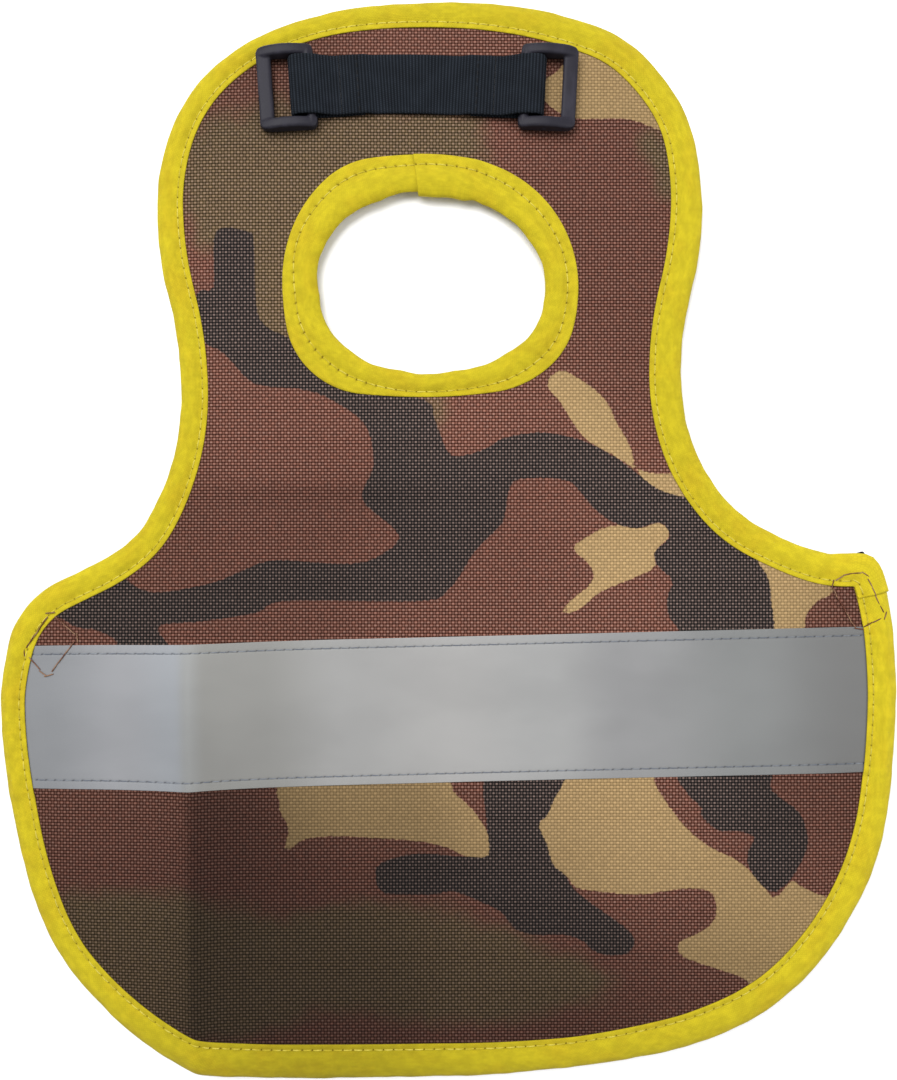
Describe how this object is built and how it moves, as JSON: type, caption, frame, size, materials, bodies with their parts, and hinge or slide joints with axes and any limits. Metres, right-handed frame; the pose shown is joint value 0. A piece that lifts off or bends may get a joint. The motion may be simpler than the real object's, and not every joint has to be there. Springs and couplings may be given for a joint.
{
  "type": "reflective bib vest",
  "caption": "Flat pull-over camouflage bib vest with bound edges, a neck opening, a reflective band, a webbing bridge with slides and side straps folded behind it.",
  "frame": {"origin": "middle of the vest's outline, on the surface that it lies on", "axes": "+X to the right seen from the front, +Y towards the neck flap, +Z out of the front face"},
  "size_m": [0.309, 0.372, 0.01],
  "materials": {
    "camouflage_fabric": "coarse plain weave, woodland print",
    "lining_fabric": "fine plain weave",
    "yellow_tape": "folded tape, matte",
    "yellow_thread": "polyester thread",
    "reflective_tape": "silver, satin",
    "grey_thread": "polyester thread",
    "black_webbing": "ribbed webbing",
    "black_thread": "polyester thread",
    "brown_thread": "polyester thread",
    "slide_plastic": "moulded, fine texture"
  },
  "bodies": {
    "main_panel": {"band_thread_lower": "grey_thread", "band_thread_upper": "grey_thread", "box_thread_left": "brown_thread", "box_thread_right": "brown_thread", "edge_binding_main": "yellow_tape", "edge_thread_main": "yellow_thread", "lining_main": "lining_fabric", "neck_binding_main": "yellow_tape", "neck_thread_main": "yellow_thread", "outer_fabric_main": "camouflage_fabric", "reflective_band": "reflective_tape", "strap_tab_left": "black_webbing", "strap_tab_right": "black_webbing"},
    "neck_flap": {"edge_binding_flap": "yellow_tape", "edge_thread_flap": "yellow_thread", "lining_flap": "lining_fabric", "neck_binding_flap": "yellow_tape", "neck_thread_flap": "yellow_thread", "outer_fabric_flap": "camouflage_fabric", "bridge_webbing": "black_webbing", "bridge_thread_left": "black_thread", "bridge_thread_right": "black_thread"},
    "slide_left": {"slide_left": "slide_plastic"},
    "slide_right": {"slide_right": "slide_plastic"},
    "strap_left": {"strap_left": "black_webbing"},
    "strap_right": {"strap_right": "black_webbing"}
  },
  "joints": [
    {"name": "neck_fold", "type": "hinge", "parent": "main_panel", "child": "neck_flap", "pos_m": [-0.0065, 0.0885, 0.00225], "axis": [-1, 0, 0], "range_deg": [0, 150]},
    {"name": "slide_left_tilt", "type": "hinge", "parent": "neck_flap", "child": "slide_left", "pos_m": [-0.0474, 0.1546, 0.00695], "axis": [-0.0698, 0.9976, 0], "range_deg": [0, 150]},
    {"name": "slide_right_tilt", "type": "hinge", "parent": "neck_flap", "child": "slide_right", "pos_m": [0.0262, 0.1546, 0.00695], "axis": [-0.0523, -0.9986, 0], "range_deg": [0, 150]},
    {"name": "strap_left_swing", "type": "hinge", "parent": "main_panel", "child": "strap_left", "pos_m": [-0.1449, -0.02995, 0.00125], "axis": [0.6046, 0.7965, 0], "range_deg": [0, 180]},
    {"name": "strap_right_swing", "type": "hinge", "parent": "main_panel", "child": "strap_right", "pos_m": [0.1469, -0.0136, 0.00125], "axis": [0.342, -0.9397, 0], "range_deg": [0, 180]}
  ]
}
